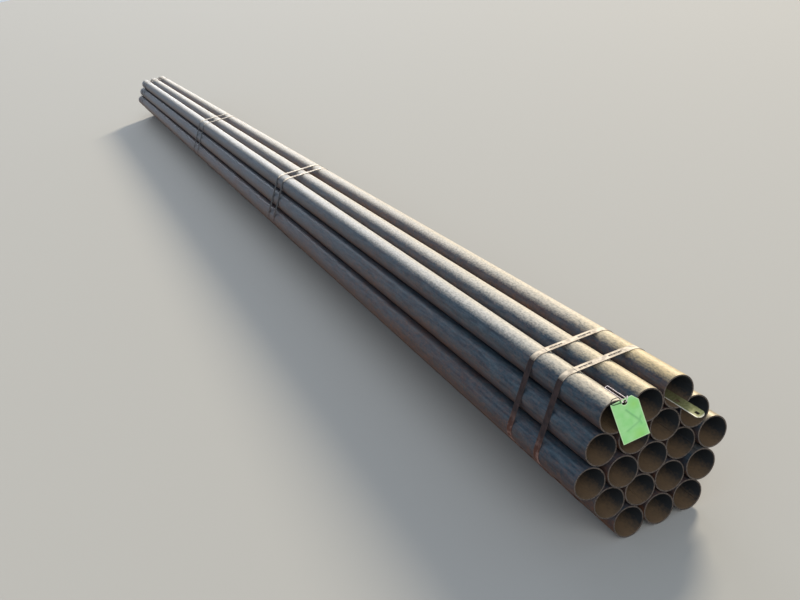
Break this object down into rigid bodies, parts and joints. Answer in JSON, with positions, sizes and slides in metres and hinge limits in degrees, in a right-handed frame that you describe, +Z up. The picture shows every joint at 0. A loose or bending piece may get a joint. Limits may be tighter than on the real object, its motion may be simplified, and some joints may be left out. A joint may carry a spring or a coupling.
{
  "type": "bundle of iron pipes",
  "caption": "Hexagonal bundle of round rusty iron pipes tied with flat steel straps, with a hanging tag and a strip tag at one end.",
  "frame": {"origin": "centre of the whole bundle's box at floor level, under the straps the bundle lies on", "axes": "+X along the pipes towards the tagged end, +Y across the bundle away from the picture's camera side, +Z up"},
  "size_m": [9.231, 0.4478, 0.4088],
  "materials": {
    "mill_scale_steel": "dark mill scale with brown and orange rust, matt",
    "strap_steel": "rusted flat strapping, matt",
    "green_card": "light green coated card, matt",
    "tie_wire": "bright drawn wire",
    "olive_plastic": "olive plastic, satin"
  },
  "bodies": {
    "root": {"pipe_top_1": "mill_scale_steel", "pipe_top_2": "mill_scale_steel", "pipe_top_3": "mill_scale_steel", "pipe_upper_1": "mill_scale_steel", "pipe_upper_2": "mill_scale_steel", "pipe_upper_3": "mill_scale_steel", "pipe_upper_4": "mill_scale_steel", "pipe_middle_1": "mill_scale_steel", "pipe_middle_2": "mill_scale_steel", "pipe_middle_3": "mill_scale_steel", "pipe_middle_4": "mill_scale_steel", "pipe_middle_5": "mill_scale_steel", "pipe_lower_1": "mill_scale_steel", "pipe_lower_2": "mill_scale_steel", "pipe_lower_3": "mill_scale_steel", "pipe_lower_4": "mill_scale_steel", "pipe_bottom_1": "mill_scale_steel", "pipe_bottom_2": "mill_scale_steel", "pipe_bottom_3": "mill_scale_steel", "strap_1": "strap_steel", "strap_2": "strap_steel", "strap_3": "strap_steel", "strap_4": "strap_steel", "strap_5": "strap_steel", "strap_6": "strap_steel", "strap_7": "strap_steel", "strap_8": "strap_steel", "green_tag": "green_card", "tag_wire": "tie_wire", "strip_tag": "olive_plastic"}
  },
  "joints": []
}
